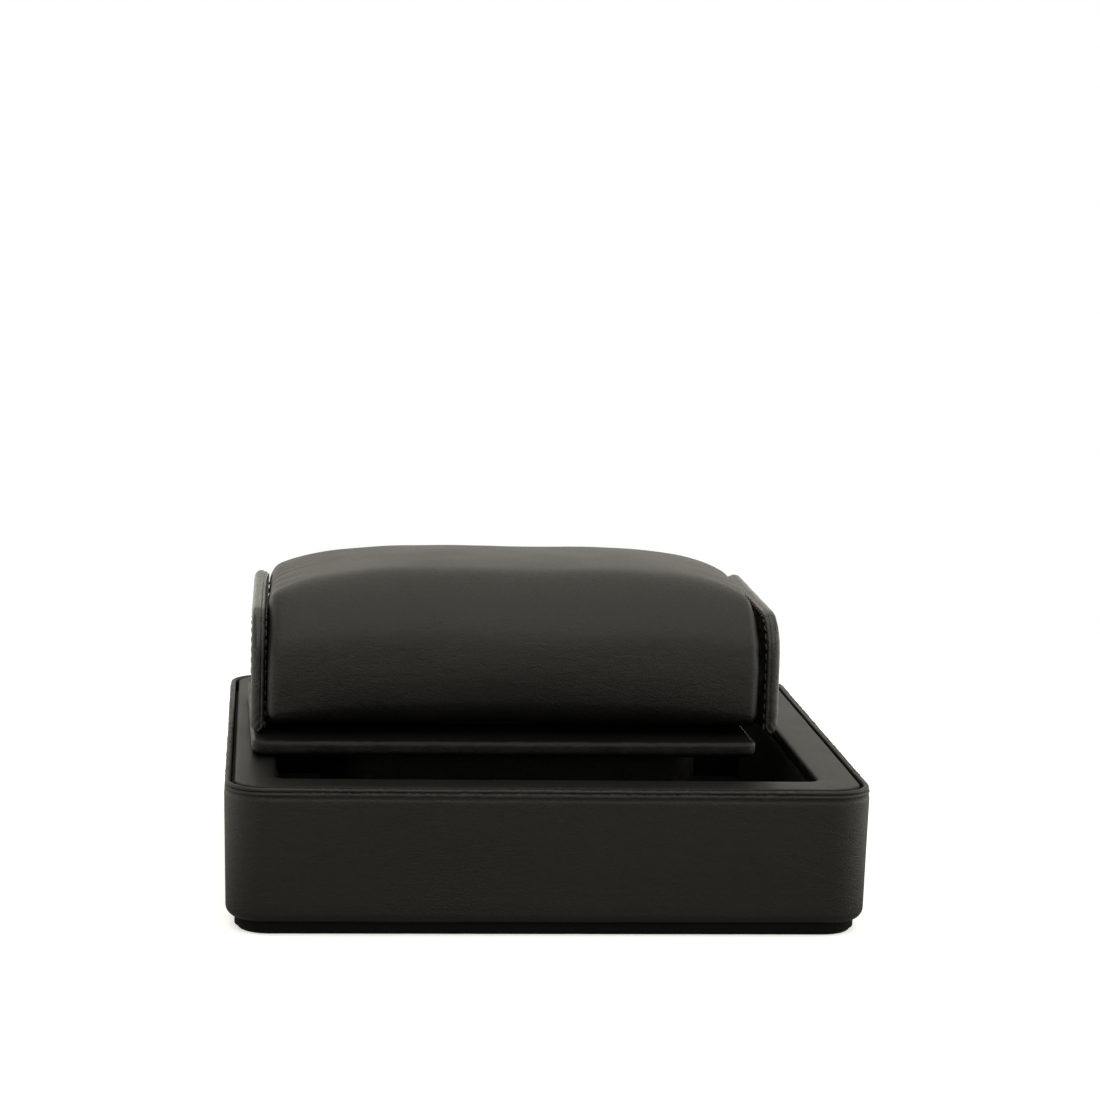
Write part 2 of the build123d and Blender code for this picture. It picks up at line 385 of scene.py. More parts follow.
def rounded(inset, height, radius, start, end, steps, first=0):
    """Insets and heights along an arc round a centre. Its angles, in degrees, count up from outwards."""
    angles = [math.radians(start + (end - start) * step / steps) for step in range(first, steps + 1)]
    return [(inset - radius * math.cos(angle), height + radius * math.sin(angle)) for angle in angles]


def smooth_piece(name, points, faces, material):
    """A smooth mesh from points in metres."""
    mesh = bpy.data.meshes.new(name)
    mesh.from_pydata(points, [], faces)
    mesh.update()
    mesh.shade_smooth()
    mesh.materials.append(material)
    made = bpy.data.objects.new(name, mesh)
    bpy.context.scene.collection.objects.link(made)
    return made


def skin(name, rows, material, close_first=False, close_last=False, turned=False):
    """Mesh through rows of points, each row a closed ring, in millimetres."""
    count = len(rows[0])
    points = [tuple(0.001 * value for value in point) for row in rows for point in row]
    faces = []
    for row in range(len(rows) - 1):
        for column in range(count):
            here, after = row * count + column, row * count + (column + 1) % count
            faces.append((here, after, after + count, here + count))
    if close_first:
        faces.append(tuple(reversed(range(count))))
    if close_last:
        faces.append(tuple(range(count * (len(rows) - 1), count * len(rows))))
    if turned:
        faces = [tuple(reversed(face)) for face in faces]
    return smooth_piece(name, points, faces, material)


def relief(piece, amount):
    """Moves each point along its normal by amount(index, point), in millimetres."""
    mesh = piece.data
    normals = [vertex.normal.copy() for vertex in mesh.vertices]
    for vertex, normal in zip(mesh.vertices, normals):
        vertex.co += normal * (0.001 * amount(vertex.index, vertex.co * 1000.0))
    mesh.update()


def subdivided(piece):
    """Adds one level of smoothing subdivision."""
    modifier = piece.modifiers.new("subdivision", "SUBSURF")
    modifier.levels = 1
    modifier.render_levels = 1
    return piece


def on_cradle(piece):
    """Moves a piece made round the cradle's middle to where the cradle stands."""
    place = Matrix.Translation((0.001 * CRADLE_PLACE[0], 0.001 * CRADLE_PLACE[1], 0.0))
    piece.data.transform(place @ Matrix.Rotation(CRADLE_TURN, 4, "Z"))
    piece.data.update()
    return piece


def on_saddle(piece, side):
    """Turns a piece of one cheek in towards the back, about the foot of its inner face."""
    foot = Matrix.Translation((0.001 * side * CHEEK_INNER, 0.0, 0.0))
    piece.data.transform(foot @ Matrix.Rotation(side * CHEEK_TOE_IN[side], 4, "Z") @ foot.inverted())
    return on_cradle(piece)


def lumps(point, size, seed):
    """Smooth noise from -1 to 1 with lumps of about size millimetres."""
    return noise.noise(Vector((point[0] / size + seed, point[1] / size, point[2] / size)))


def stitch(length, width, rise):
    """Points and faces of one stitch, an egg-shaped bead that lies along its first axis."""
    rings, sides = 7, 8
    points = [(-length / 2, 0.0, 0.0)]
    for ring in range(1, rings):
        angle = math.pi * ring / rings
        for side in range(sides):
            turn = 2 * math.pi * side / sides
            swell = math.sin(angle) ** 0.6
            points.append(
                (
                    -length / 2 * math.cos(angle),
                    width / 2 * swell * math.cos(turn),
                    rise * swell * math.sin(turn),
                )
            )
    points.append((length / 2, 0.0, 0.0))
    faces = []
    for side in range(sides):
        after = (side + 1) % sides
        faces.append((0, 1 + after, 1 + side))
        for ring in range(rings - 2):
            here = 1 + ring * sides
            faces.append((here + side, here + after, here + sides + after, here + sides + side))
        last = 1 + (rings - 2) * sides
        faces.append((last + side, last + after, len(points) - 1))
    return points, faces


def seam(name, anchors, material, length, width, rise, slant):
    """One mesh of stitches. Each anchor is a point, the seam's direction and the outward direction."""
    one_points, one_faces = stitch(length, width, rise)
    points, faces = [], []
    for place, along, outward in anchors:
        outward = Vector(outward).normalized()
        along = Vector(along)
        along = (along - outward * along.dot(outward)).normalized()
        side = outward.cross(along)
        along, side = (
            along * math.cos(slant) + side * math.sin(slant),
            side * math.cos(slant) - along * math.sin(slant),
        )
        start = len(points)
        for x, y, z in one_points:
            points.append(tuple(0.001 * (Vector(place) + along * x + side * y + outward * z)))
        faces.extend(tuple(start + index for index in face) for face in one_faces)
    return smooth_piece(name, points, faces, material)


def spaced(points, pitch):
    """Places and directions every pitch or so along a closed line of points."""
    points = [Vector(point) for point in points]
    lengths = [(after - here).length for here, after in zip(points, points[1:] + points[:1])]
    total = sum(lengths)
    count = max(3, round(total / pitch))
    found = []
    walked, index = 0.0, 0
    for step in range(count):
        target = total * step / count
        while walked + lengths[index] < target:
            walked += lengths[index]
            index += 1
        start, end = points[index], points[(index + 1) % len(points)]
        share = (target - walked) / max(lengths[index], 1e-9)
        found.append((start + (end - start) * share, (end - start).normalized()))
    return found


# Tray


def tray_ring(inset, height, radius=None, sides=(40, 40), corner_steps=14):
    """Ring round the tray at a height, set in from its outer outline."""
    radius = TRAY_CORNER - inset if radius is None else radius
    flat = loop(TRAY_HALF_WIDTH - inset, TRAY_HALF_DEPTH - inset, (radius,) * 4, corner_steps, sides)
    return [(x, y, height) for x, y in flat]


def shell_profile():
    """Inset and height from the turned-in leather under the tray up and over its rim, with a corner
    radius where it isn't the tray's own, and the number of the first row of the beads."""
    profile = [(9.0, 3.45, 7.8), (9.0, 2.62, 7.8), (8.88, 2.4, 7.75)]
    profile += [(8.6, SHELL_LOW, 7.6), (5.6, SHELL_LOW, 6.6)]
    profile += rounded(2.46, SHELL_LOW + 2.0, 2.0, -90, 0, 8)
    for height in (6.0, 8.0, 10.0, 12.0, 14.0, 16.0, 18.0, 20.0, 21.6, 22.8, 23.7, 24.2):
        profile.append((DRAW_IN * (RIM_TOP - height) / (RIM_TOP - SHELL_LOW), height))
    profile += [(0.06, 24.45), (0.13, 24.66)]
    first_bead_row = len(profile)
    profile += rounded(*LOWER_BEAD) + rounded(*UPPER_BEAD)
    profile += [(1.12, RIM_TOP - 0.16), (1.2, RIM_TOP - 0.4)]
    profile += [(1.24, RIM_TOP - 1.0), (1.26, RIM_TOP - 2.0)]
    return profile, first_bead_row


def shell_leather_piece(material):
    """Leather round the tray, with a double beaded rim that the fold has crushed into fine grain."""
    profile, lower_bead = shell_profile()
    upper_bead = lower_bead + LOWER_BEAD[-1] + 1
    last_bead_row = upper_bead + UPPER_BEAD[-1]
    rows = [tray_ring(*stop, sides=(250, 270), corner_steps=16) for stop in profile]
    piece = skin("shell_leather", rows, material)
    count = len(rows[0])

    def off_corner(along, across, half_length, half_across):
        """0 at the ends of a side and 1 further along. It is 1 all over for a point of another side."""
        if abs(across) <= half_across - TRAY_CORNER:
            return 1.0
        return min(1.0, max(0.0, (half_length - 11.0 - abs(along)) / 5.0))

    def crush(index, point):
        row = index // count
        if row < lower_bead + 2 or row > last_bead_row:
            return 0.07 * lumps(point, 21.0, 3.0) if 5 < row < lower_bead else 0.0
        fade = off_corner(point[0], point[1], TRAY_HALF_WIDTH, TRAY_HALF_DEPTH)
        fade *= off_corner(point[1], point[0], TRAY_HALF_DEPTH, TRAY_HALF_WIDTH)
        bead = 0.0 if row < upper_bead else 40.0
        grain = noise.noise(Vector((point[0] / 0.62 + bead, point[1] / 0.62, bead)))
        fine = noise.noise(Vector((point[0] / 0.3, point[1] / 0.3 + bead, point[2] / 0.3)))
        return -fade * (0.07 + 0.2 * grain + 0.08 * fine)

    relief(piece, crush)
    return piece


def ledge_leather_piece(material):
    """Leather of the flush ledge: rolled at both edges, a little slack on top."""
    outer_corner, inner_corner = 6.0, 2.0
    profile = [(LEDGE_OUTER, LEDGE_LOW), (LEDGE_OUTER, 26.1), (1.86, 26.36), (2.02, 26.54), (2.3, 26.62)]
    profile += [(3.0, 26.64), (4.4, 26.65), (5.8, 26.65), (7.2, 26.64), (8.1, 26.62)]
    profile += rounded(LEDGE_INNER - 0.7, 25.92, 0.7, 90, 180, 6, first=1)
    profile += [(LEDGE_INNER, 25.2), (LEDGE_INNER, LEDGE_LOW), (8.3, LEDGE_LOW)]
    rows = []
    for inset, height in profile:
        share = (inset - LEDGE_OUTER) / (LEDGE_INNER - LEDGE_OUTER)
        corner = outer_corner + (inner_corner - outer_corner) * share
        rows.append(tray_ring(inset, height, corner, (70, 76), 10))
    piece = skin("ledge_leather", rows, material)
    relief(piece, lambda index, point: 0.035 * lumps(point, 9.0, 11.0) + 0.02 * lumps(point, 2.4, 5.0))
    return piece


def soft_panel(name, node, material, round_size=0.5):
    """Padded panel in the place of a CAD node, with soft edges."""
    low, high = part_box(node)
    middle = [500.0 * (a + b) for a, b in zip(low, high)]
    half = [500.0 * (b - a) for a, b in zip(low, high)]
    thin = min(range(3), key=lambda axis: half[axis])
    flat = [axis for axis in range(3) if axis != thin]
    steps = [(1.0, -half[thin]), (0.3, -half[thin] + 0.08), (0.0, -half[thin] + round_size)]
    steps += [(0.0, half[thin] - round_size), (0.3 * round_size, half[thin] - 0.3 * round_size)]
    steps += [(round_size, half[thin]), (3.0, half[thin])]
    rows = []
    for inset, offset in steps:
        radius = max(0.25, 1.0 - inset)
        ring = loop(half[flat[0]] - inset, half[flat[1]] - inset, (radius,) * 4, 3, (24, 40))
        row = []
        for u, v in ring:
            point = [0.0, 0.0, 0.0]
            point[flat[0]] = middle[flat[0]] + u
            point[flat[1]] = middle[flat[1]] + v
            point[thin] = middle[thin] + offset
            row.append(tuple(point))
        rows.append(row)
    piece = skin(name, rows, material, close_first=True, close_last=True, turned=thin == 1)
    relief(piece, lambda index, point: -0.03 - 0.03 * abs(lumps(point, 7.0, 2.0)))
    return piece


def foot_felt_piece(material):
    """Felt under the foot, with a soft edge that has been trodden a little uneven."""
    profile = [(8.0, 0.0), (3.3, 0.0), (2.88, 0.06), (2.72, 0.25), (2.7, 0.6), (2.8, 0.8), (8.0, 0.8)]
    rows = [tray_ring(inset, height, 5.4 if inset < 8 else 3.0) for inset, height in profile]
    piece = skin("foot_felt_pad", rows, material, close_first=True, close_last=True)

    def trodden(index, point):
        return -0.04 * abs(lumps(point, 1.1, 6.0)) if 0.02 < point[2] < 0.78 else 0.0

    relief(piece, trodden)
    return piece


# Cradle


def platform_leather_piece(material):
    """Leather of the thin platform, a little lumpy where its grain is stretched round the edges."""
    low_roll, top_roll = 1.1, 0.95
    profile = [(20.0, PLATFORM_LOW), (8.0, PLATFORM_LOW), (3.0, PLATFORM_LOW), (1.15, PLATFORM_LOW)]
    profile += rounded(low_roll, PLATFORM_LOW + low_roll, low_roll, -90, 0, 6, first=1)
    profile += rounded(top_roll, PLATFORM_TOP - top_roll, top_roll, 0, 90, 7)
    profile += [(1.8, PLATFORM_TOP), (3.0, PLATFORM_TOP - 0.03)]
    profile += [(8.0, PLATFORM_TOP - 0.04), (20.0, PLATFORM_TOP - 0.04)]
    rows = []
    for inset, height in profile:
        radii = (max(0.8, PLATFORM_CORNER - inset),) * 4
        half_width, half_depth = PLATFORM_HALF_WIDTH - inset, PLATFORM_HALF_DEPTH - inset
        ring = loop(half_width, half_depth, radii, 8, (90, 150), PLATFORM_MIDDLE)
        rows.append([(x, y, height) for x, y in ring])
    piece = skin("platform_leather", rows, material, close_first=True, close_last=True)

    def stretched_grain(index, point):
        across = PLATFORM_HALF_WIDTH - abs(point[0] - PLATFORM_MIDDLE[0])
        along = PLATFORM_HALF_DEPTH - abs(point[1] - PLATFORM_MIDDLE[1])
        edge = 1.0 if min(across, along) < 1.8 else 0.2
        return edge * (0.09 * lumps(point, 1.4, 8.0) + 0.06 * lumps(point, 6.0, 1.0) - 0.05)

    relief(piece, stretched_grain)
    return on_cradle(piece)


def pedestal_leather_piece(material):
    """Leather band round the pedestal, rubbed at its top and bottom edges."""
    profile = [(1.0, 0.0), (0.18, 0.0), (0.0, 0.02), (0.0, 0.1), (0.0, 0.3), (0.0, 0.5)]
    profile += [(0.0, 0.7), (0.0, 0.9), (0.18, 0.98), (1.0, 1.0)]
    rows = []
    for inset, share in profile:
        height = PEDESTAL_LOW + share * (PLATFORM_LOW - PEDESTAL_LOW)
        half_width, half_depth = PEDESTAL_HALF_WIDTH - inset, PEDESTAL_HALF_DEPTH - inset
        ring = loop(half_width, half_depth, (PEDESTAL_CORNER - inset,) * 4, 10, (24, 40))
        rows.append([(x, y, height) for x, y in ring])
    piece = skin("pedestal_leather", rows, material)
    relief(piece, lambda index, point: -0.03 + 0.03 * lumps(point, 6.0, 4.0))
    return on_cradle(piece)


def web_leather_piece(material):
    """Leather strip under the cushion that joins the cheeks. Its ends follow their inner faces."""
    profile = [(3.0, 0.0), (0.3, 0.0), (0.05, 0.12), (0.0, 0.5), (0.06, 1.05), (0.35, 1.28), (3.0, 1.3)]
    rows = []
    for inset, height in profile:
        row = []
        ring = loop(CHEEK_INNER - 0.02 * inset, WEB_HALF_DEPTH - inset, (0.3,) * 4, 3, (60, 100))
        for x, y in ring:
            toe_in = CHEEK_TOE_IN[1 if x > 0 else -1]
            row.append((x * (1 - y * math.tan(toe_in) / CHEEK_INNER), y, PLATFORM_TOP + height))
        rows.append(row)
    piece = skin("saddle_web_leather", rows, material, close_first=True, close_last=True)
    return on_cradle(piece)


def cheek_ring(inset, corner_steps, side_steps):
    """Outline of a cheek in its side view, set in by inset. Its top falls towards the front."""
    top = max(1.2, CHEEK_TOP_CORNER - inset)
    foot = max(0.5, CHEEK_FOOT_CORNER - inset)
    half_depth, half_height = CHEEK_HALF_DEPTH - inset, CHEEK_HEIGHT / 2 - inset
    radii, middle = (top, top, foot, foot), (0.0, CHEEK_HEIGHT / 2)
    ring = []
    for y, up in loop(half_depth, half_height, radii, corner_steps, side_steps, middle):
        fall = CHEEK_TOP_FALL * (0.5 - 0.5 * y / CHEEK_HALF_DEPTH) * up / CHEEK_HEIGHT
        ring.append((y, PLATFORM_TOP + up - fall))
    return ring


def cheek_rows(side):
    """Rings across a cheek's thickness, from its inner face over the edge to its outer face, and the
    inset and place of each."""
    inner_x, outer_x, edge_round = CHEEK_INNER, CHEEK_INNER + CHEEK_THICK, 1.3
    profile = [(11.0, inner_x), (6.0, inner_x), (3.6, inner_x), (2.4, inner_x), (1.6, inner_x)]
    profile += [(1.3, inner_x + 0.02), (1.05, inner_x - 0.03), (0.7, inner_x + 0.05)]
    profile += [(0.42, inner_x + 0.24), (0.26, inner_x + 0.46), (0.2, inner_x + 0.64)]
    profile += [(0.3, inner_x + 0.76), (0.3, inner_x + 0.82), (0.1, inner_x + 0.94)]
    profile += [(0.0, inner_x + 1.15), (0.0, inner_x + 1.4)]
    profile += rounded(edge_round, outer_x - edge_round, edge_round, 0, 90, 8, first=1)
    profile += [(1.6, outer_x - 0.02), (1.95, outer_x), (2.6, outer_x)]
    profile += [(3.6, outer_x), (6.0, outer_x), (11.0, outer_x)]
    rows = []
    for inset, x in profile:
        rows.append([(side * x, y, z) for y, z in cheek_ring(inset, 22, (50, 90))])
    return rows, profile


def cheek_leather_piece(name, side, material):
    """Leather of one cheek: two skins that meet along the edge, pleated round the corners."""
    rows, profile = cheek_rows(side)
    middle = side * (CHEEK_INNER + CHEEK_THICK / 2)
    for row in rows:
        for index, (x, y, z) in enumerate(row):
            share = min(1.0, (z - PLATFORM_TOP) / 1.6) if abs(y) > CHEEK_HALF_DEPTH - 3.0 else 1.0
            row[index] = (middle + (x - middle) * (0.22 + 0.78 * math.sqrt(max(0.0, share))), y, z)
    piece = skin(name, rows, material, close_first=True, close_last=True, turned=side < 0)
    count = len(rows[0])

    def gather(index, point):
        inset, x = profile[index // count]
        edge = max(0.0, 1.0 - inset / 2.2)
        up = point[2] - (PLATFORM_TOP + CHEEK_HEIGHT - CHEEK_TOP_FALL / 2 - CHEEK_TOP_CORNER)
        out = abs(point[1]) - (CHEEK_HALF_DEPTH - CHEEK_TOP_CORNER)
        corner = 0.0
        if up > 0 and out > 0:
            turn = math.atan2(up, out)
            corner = math.sin(2 * turn) * abs(math.sin(turn * 7.0 + 0.6 * side))
        from_foot = math.hypot(CHEEK_HALF_DEPTH - abs(point[1]), point[2] - PLATFORM_TOP)
        foot = max(0.0, 1.0 - from_foot / 4.0)
        foot *= abs(math.sin(1.9 * (point[2] - PLATFORM_TOP) + 2.3 * (x - CHEEK_INNER)))
        stretch = 0.03 * lumps(point, 1.7, 9.0 + side) + 0.05 * lumps(point, 5.0, 2.0)
        pleats = 0.12 * corner + 0.16 * foot
        return edge * (stretch - 0.04 - pleats) + (1 - edge) * 0.03 * lumps(point, 8.0, 7.0)

    relief(piece, gather)
    return on_saddle(piece, side)


def cheek_seams(name, side, material):
    """Edge stitching of a cheek, sunk into the leather just inside its edge on both faces."""
    pitch, length, width, rise, slant = 1.9, 1.35, 0.42, 0.17, 0.2
    inner_line = (0.95, CHEEK_INNER + 0.02, -side)
    outer_line = (1.75, CHEEK_INNER + CHEEK_THICK - 0.08, side)
    anchors = []
    for inset, x, outward in (inner_line, outer_line):
        line = [(side * x, y, z) for y, z in cheek_ring(inset, 14, (30, 60))]
        anchors += [(place, along, (outward, 0, 0)) for place, along in spaced(line, pitch)]
    return on_saddle(seam(name, anchors, material, length, width, rise, slant), side)


# Watch cushion


def shoulder(x):
    """How far the cushion's section has drawn in at a distance x from its middle."""
    out = min(1.0, max(0.0, (abs(x) - SHOULDER_START) / (CUSHION_HALF_LENGTH - SHOULDER_START)))
    return SHOULDER_DROP * (1.0 - math.sqrt(max(0.0, 1.0 - out * out)))


def cushion_ring(x, inset, corner_steps=14, sides=(16, 34)):
    """Cross-section with a crowned top and sides that belly out low down, less tall at the shoulders."""
    drop = shoulder(x)
    top = CUSHION_HEIGHT - inset - drop
    under = inset + UNDER_SHARE * drop
    fullness = (top - under) / (CUSHION_HEIGHT - 2 * inset)
    half_depth = CUSHION_HALF_DEPTH - inset - FRONT_SHARE * drop
    belly = under + BELLY_SHARE * (top - under)
    brow = top - CROWN_RISE * fullness
    brow_round = max(0.8, (CUSHION_TOP_ROUND - inset) * fullness)
    seat_share = fullness * (1.0 - 0.55 * (x / CUSHION_HALF_LENGTH) ** 4)
    seat_round = max(0.8, (CUSHION_SEAT_ROUND - inset) * seat_share)
    radii = (brow_round, brow_round, seat_round, seat_round)
    middle = (brow + under) / 2
    ring = []
    for y, z in loop(half_depth, (brow - under) / 2, radii, corner_steps, sides, (0.0, middle)):
        if z > belly:
            lean = BROW_LEAN * fullness * ((z - belly) / (brow - belly)) ** 2
        else:
            lean = TOE_LEAN * fullness * ((belly - z) / (belly - under)) ** 2
        up = max(0.0, (z - middle) / (brow - middle))
        crown = CROWN_RISE * fullness * (1 - (y / half_depth) ** 2) * up
        ring.append((x, y * (1 - lean / half_depth), CUSHION_LOW + z + crown))
    return ring


def cushion_stations():
    """Places along the cushion, and how far the section is set in at each, up to the rolled end edge."""
    roll, straight = CUSHION_END_ROLL, CUSHION_HALF_LENGTH - CUSHION_END_ROLL
    half = [(straight * step / 25, 0.0) for step in range(26)]
    for step in range(1, 7):
        angle = math.pi / 2 * step / 6
        half.append((straight + roll * math.sin(angle), roll * (1 - math.cos(angle))))
    left = [(-x, inset) for x, inset in reversed(half[1:])]
    return left + half


def stuffed(piece, pinned, reach):
    """Blows up a closed cover as stuffing does. Its furthest point moves by reach at most."""
    scale, moments = 14.0, 20
    blown = bpy.data.objects.new("stuffing_copy", piece.data.copy())
    bpy.context.scene.collection.objects.link(blown)
    blown.data.transform(Matrix.Scale(scale, 4))
    group = blown.vertex_groups.new(name="held")
    group.add(pinned, 1.0, "REPLACE")
    cloth = blown.modifiers.new("stuffing", "CLOTH")
    settings = cloth.settings
    settings.quality = 5
    settings.mass = 0.3
    settings.tension_stiffness = 40.0
    settings.compression_stiffness = 20.0
    settings.shear_stiffness = 12.0
    settings.bending_stiffness = 3.0
    settings.use_pressure = True
    settings.uniform_pressure_force = 4.0
    settings.effector_weights.gravity = 0.0
    settings.vertex_group_mass = "held"
    cloth.point_cache.frame_start = 1
    cloth.point_cache.frame_end = moments
    scene = bpy.context.scene
    for moment in range(1, moments + 1):
        scene.frame_set(moment)
    result = blown.evaluated_get(bpy.context.evaluated_depsgraph_get()).to_mesh()
    pairs = zip(piece.data.vertices, result.vertices)
    travels = [moved.co / scale - vertex.co for vertex, moved in pairs]
    share = min(1.0, reach * 0.001 / max(travel.length for travel in travels))
    for vertex, travel in zip(piece.data.vertices, travels):
        vertex.co += travel * share
    piece.data.update()
    scene.frame_set(1)
    bpy.data.objects.remove(blown)


def settle_left(piece):
    """Presses the soft cushion's left end against the left cheek, along whose face it then lies."""
    for vertex in piece.data.vertices:
        x, y = 1000.0 * vertex.co.x, 1000.0 * vertex.co.y
        out = min(1.0, max(0.0, (-x - SETTLE_START) / (CUSHION_HALF_LENGTH - SETTLE_START)))
        vertex.co.x -= 0.001 * out * out * (SETTLE_REACH - y * math.tan(CHEEK_TOE_IN[-1]))
    piece.data.update()


def cushion_cover_piece(material):
    """The cushion's leather: blown up over its filling, then puckered towards the end seams."""
    drawn_in = 1 - COVER_SLACK / CUSHION_HALF_LENGTH / 3
    rows = []
    for station, inset in cushion_stations():
        ring = cushion_ring(station, inset + COVER_SLACK)
        rows.append([(x * drawn_in, y, z) for x, y, z in ring])
    piece = skin("cushion_leather", rows, material, close_first=True, close_last=True)
    held = 5 * len(rows[0])
    total = len(piece.data.vertices)
    stuffed(piece, [*range(held), *range(total - held, total)], 0.7)

    def pucker(index, point):
        x = abs(point[0])
        near = max(0.0, 1.0 - (CUSHION_HALF_LENGTH - x) / 11.0)
        around = math.atan2(point[2] - CUSHION_LOW - CUSHION_HEIGHT / 2, point[1])
        gathers = noise.noise(Vector((around * 5.5, point[0] * 0.03, 3.0 if point[0] > 0 else 9.0)))
        drag = 0.32 * near * near * gathers
        soft = 0.22 * lumps(point, 17.0, 5.0) + 0.07 * lumps(point, 6.0, 8.0)
        return drag + soft - 0.05

    relief(piece, pucker)
    settle_left(piece)
    return on_cradle(subdivided(piece))


def cushion_end_piece(name, side, material):
    """Leather-covered panel let into one end of the cushion, slightly domed."""
    profile = [(2.3, -1.4), (2.3, -0.6), (2.4, -0.3), (2.7, -0.1), (3.4, 0.02), (5.5, 0.1), (8.5, 0.14)]
    rows = []
    for inset, out in profile:
        ring = cushion_ring(CUSHION_HALF_LENGTH, inset, 10, (10, 26))
        rows.append([(side * (CUSHION_HALF_LENGTH + out), y, z) for x, y, z in ring])
    piece = skin(name, rows, material, close_first=True, close_last=True, turned=side < 0)
    settle_left(piece)
    return on_cradle(piece)


def cushion_foam_piece(material):
    """Foam block inside the cover, eased a little at both ends."""
    half = [(x, 1.6) for x in (0.0, 18.0, 24.0, 30.0, 36.0, 40.0, 42.0)] + [(42.6, 2.1)]
    stations = [(-x, inset) for x, inset in reversed(half[1:])] + half
    rows = [cushion_ring(x, inset, 8, (8, 16)) for x, inset in stations]
    piece = skin("cushion_foam_block", rows, material, close_first=True, close_last=True)
    return on_cradle(piece)


# Studio


def photo_camera():
    """The photograph's camera: a long lens, a little above the tray and a little to its left."""
    pitch, roll, yaw = 0.14378, -0.0265, 0.09319
    ahead = math.cos(pitch)
    forward = Vector((math.sin(yaw) * ahead, math.cos(yaw) * ahead, -math.sin(pitch)))
    level = Vector((math.cos(yaw), -math.sin(yaw), 0.0))
    down = forward.cross(level)
    right = math.cos(roll) * level + math.sin(roll) * down
    below = -math.sin(roll) * level + math.cos(roll) * down
    data = bpy.data.cameras.new("photo_camera")
    data.sensor_width = 36.0
    data.lens = 102.4395
    data.clip_start = 0.01
    data.clip_end = 50.0
    camera = bpy.data.objects.new("photo_camera", data)
    turn = Matrix((right, -below, -forward)).transposed()
    camera.matrix_world = Matrix.Translation((-0.05163156, -0.58758413, 0.1467054)) @ turn.to_4x4()
    bpy.context.scene.collection.objects.link(camera)
    bpy.context.scene.camera = camera


def softbox(name, place, target, width, height, power):
    """Rectangular soft light that faces a target. Its white is a little warm."""
    data = bpy.data.lights.new(name, "AREA")
    data.shape = "RECTANGLE"
    data.size = width
    data.size_y = height
    data.energy = power
    data.color = (1.0, 0.965, 0.84)
    lamp = bpy.data.objects.new(name, data)
    lamp.location = place
    lamp.rotation_mode = "QUATERNION"
    lamp.rotation_quaternion = (Vector(target) - Vector(place)).to_track_quat("-Z", "Y")
    bpy.context.scene.collection.objects.link(lamp)


def paper_floor():
    """Pale paper under the tray. The camera sees its shadow near the tray and white further out. In the
    leather's reflections it is a dim floor with a glow that grows towards the sides: a painted
    reflection of side light."""
    paper = Finish("pale_paper")
    paper.tree.nodes.remove(paper.surface)

    def matt(colour):
        return paper.node("ShaderNodeBsdfDiffuse", inputs={"Color": colour})

    def glowing(colour, strength):
        return paper.node("ShaderNodeEmission", inputs={"Color": colour, "Strength": strength})

    def added(first, second):
        return paper.node("ShaderNodeAddShader", inputs={0: first, 1: second})

    white = (1.0, 1.0, 1.0, 1.0)
    away = paper.node("ShaderNodeVectorMath", {"operation": "LENGTH"}, {0: paper.place}, "Value")
    x = paper.node("ShaderNodeSeparateXYZ", inputs={0: paper.place})
    sideways = paper.node("ShaderNodeMath", {"operation": "ABSOLUTE"}, {0: x})
    lit = paper.mixed(paper.noise(3.0, 2.0), matt((0.86, 0.86, 0.86, 1.0)), matt((0.9, 0.9, 0.9, 1.0)))
    seen = paper.mixed(away.ramp(0.13, 0.32), added(lit, glowing(white, 0.5)), glowing(white, 1.0))

    dim = matt((0.16, 0.16, 0.15, 1.0))
    # For glossy rays the paper also glows, dim in front and stronger to the sides: a painted reflection
    # of side light.
    low, far, aside = 0.12, 0.2, 1.3
    reflected_glow_strength = low + away.ramp(0.3, 1.1) * far + sideways.ramp(0.06, 0.22) * aside
    strongest_reflected_glow = low + far + aside
    warm = glowing((1.0, 0.965, 0.86, 1.0), strongest_reflected_glow)
    glow_for_reflections = paper.mixed(reflected_glow_strength * (1 / strongest_reflected_glow), None, warm)
    glossy_ray = paper.node("ShaderNodeLightPath", output="Is Glossy Ray")
    camera_ray = paper.node("ShaderNodeLightPath", output="Is Camera Ray")
    unseen = paper.mixed(glossy_ray, dim, added(dim, glow_for_reflections))
    output = paper.tree.nodes["Material Output"].inputs["Surface"]
    paper.feed(output, paper.mixed(camera_ray, unseen, seen))

    mesh = bpy.data.meshes.new("paper_floor")
    reach = 6.0
    corners = [(-reach, -reach, 0), (reach, -reach, 0), (reach, reach, 0), (-reach, reach, 0)]
    mesh.from_pydata(corners, [], [(0, 1, 2, 3)])
    mesh.materials.append(paper.material)
    floor = bpy.data.objects.new("paper_floor", mesh)
    bpy.context.scene.collection.objects.link(floor)


def studio_world():
    """White for the camera, dim grey for the light that reaches the leather."""
    world = bpy.data.worlds.new("studio_world")
    bpy.context.scene.world = world
    world.use_nodes = True
    sky = Shader(world.node_tree)
    sky.tree.nodes.remove(sky.tree.nodes["Background"])
    ambient = sky.node("ShaderNodeBackground", inputs={"Color": (0.4, 0.39, 0.35, 1.0)})
    white = sky.node("ShaderNodeBackground", inputs={"Color": (1.0, 1.0, 1.0, 1.0)})
    camera_ray = sky.node("ShaderNodeLightPath", output="Is Camera Ray")
    output = sky.tree.nodes["World Output"].inputs["Surface"]
    sky.feed(output, sky.mixed(camera_ray, ambient, white))


